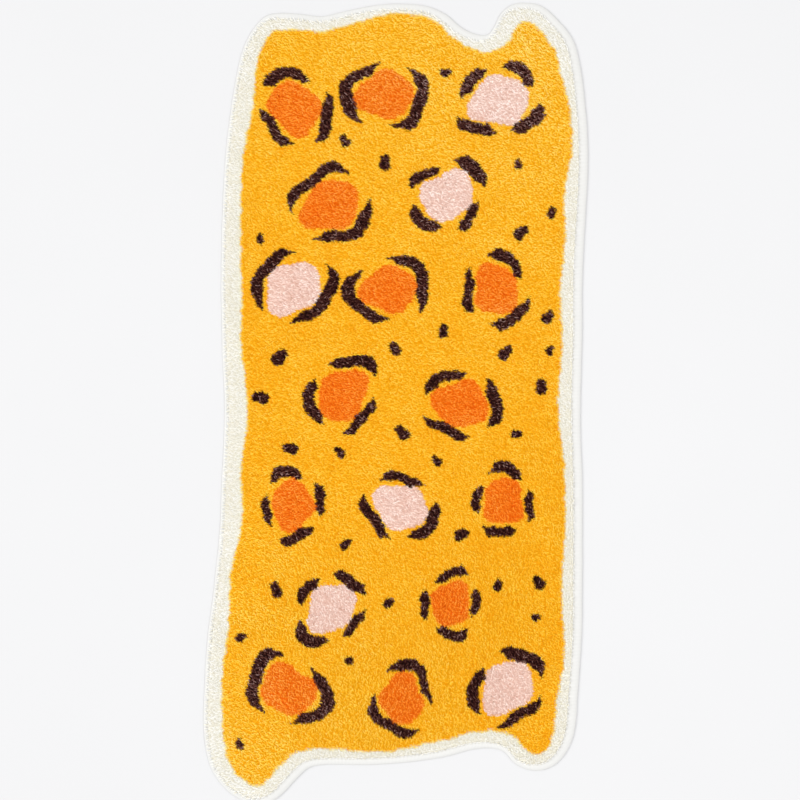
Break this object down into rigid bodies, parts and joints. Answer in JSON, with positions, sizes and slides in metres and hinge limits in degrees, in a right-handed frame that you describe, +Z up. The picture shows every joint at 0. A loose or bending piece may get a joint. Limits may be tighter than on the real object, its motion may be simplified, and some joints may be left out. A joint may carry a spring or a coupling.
{
  "type": "faux animal hide rug",
  "caption": "Flat floor rug of short plush pile, cut to a long hide outline with rounded corner lobes, printed with a rosette hide pattern and bound at the edge with sewn white tape.",
  "frame": {"origin": "on the floor under the middle of the rug's box", "axes": "+Z up out of the pile, +Y along the rug's length, +X across it to the right as it is seen from above"},
  "size_m": [0.72, 1.5, 0.011],
  "materials": {
    "plush_pile": "short brushed plush pile, printed in golden yellow, orange, brown, pink and cream",
    "binding_tape": "smooth woven binding tape, off-white, matt"
  },
  "bodies": {
    "root": {"pile_panel": "plush_pile", "edge_binding": "binding_tape"}
  },
  "joints": []
}
